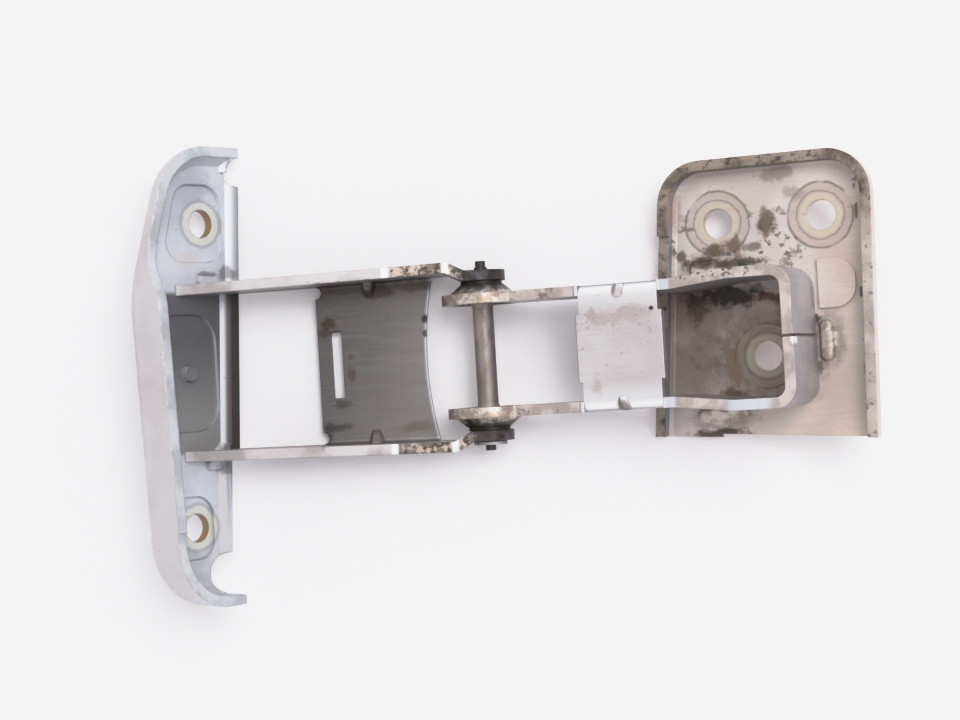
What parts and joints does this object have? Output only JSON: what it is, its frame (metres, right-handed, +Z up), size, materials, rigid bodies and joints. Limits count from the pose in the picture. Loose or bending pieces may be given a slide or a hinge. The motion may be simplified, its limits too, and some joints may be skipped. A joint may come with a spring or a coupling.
{
  "type": "van door hinge",
  "caption": "Pressed steel van door hinge: a leaning pillar bracket on a channel arm, pinned to a folded arm and a rimmed door plate.",
  "frame": {"origin": "under the middle of the part's box, on the surface that it lies on", "axes": "+X from the pillar bracket to the door plate, +Y along the hinge pin, +Z up"},
  "size_m": [0.2814, 0.1772, 0.0642],
  "materials": {
    "grey_paint": "pale blue-grey paint, worn bright along the edges",
    "worn_zinc": "zinc plate gone dull and brown-specked",
    "greased_bush": "bronze under black grease",
    "bright_zinc": "silver zinc plate with worn edges",
    "dirty_zinc": "beige-silver zinc plate with brown grime and rust spots",
    "brown_pin_steel": "turned steel, brown with old grease",
    "washer_zinc": "thin zinc-plated spring washer"
  },
  "bodies": {
    "pillar_leaf": {"pillar_bracket": "grey_paint", "channel_arm": "worn_zinc", "upper_bush": "greased_bush", "lower_bush": "greased_bush"},
    "door_leaf": {"folded_arm": "bright_zinc", "door_plate": "dirty_zinc", "hinge_pin": "brown_pin_steel", "retaining_washer": "washer_zinc"}
  },
  "joints": [
    {"name": "door_swing", "type": "hinge", "parent": "pillar_leaf", "child": "door_leaf", "pos_m": [-0.00943, 0.00095, 0.017], "axis": [0, 1, 0], "range_deg": [-135, 45]}
  ]
}
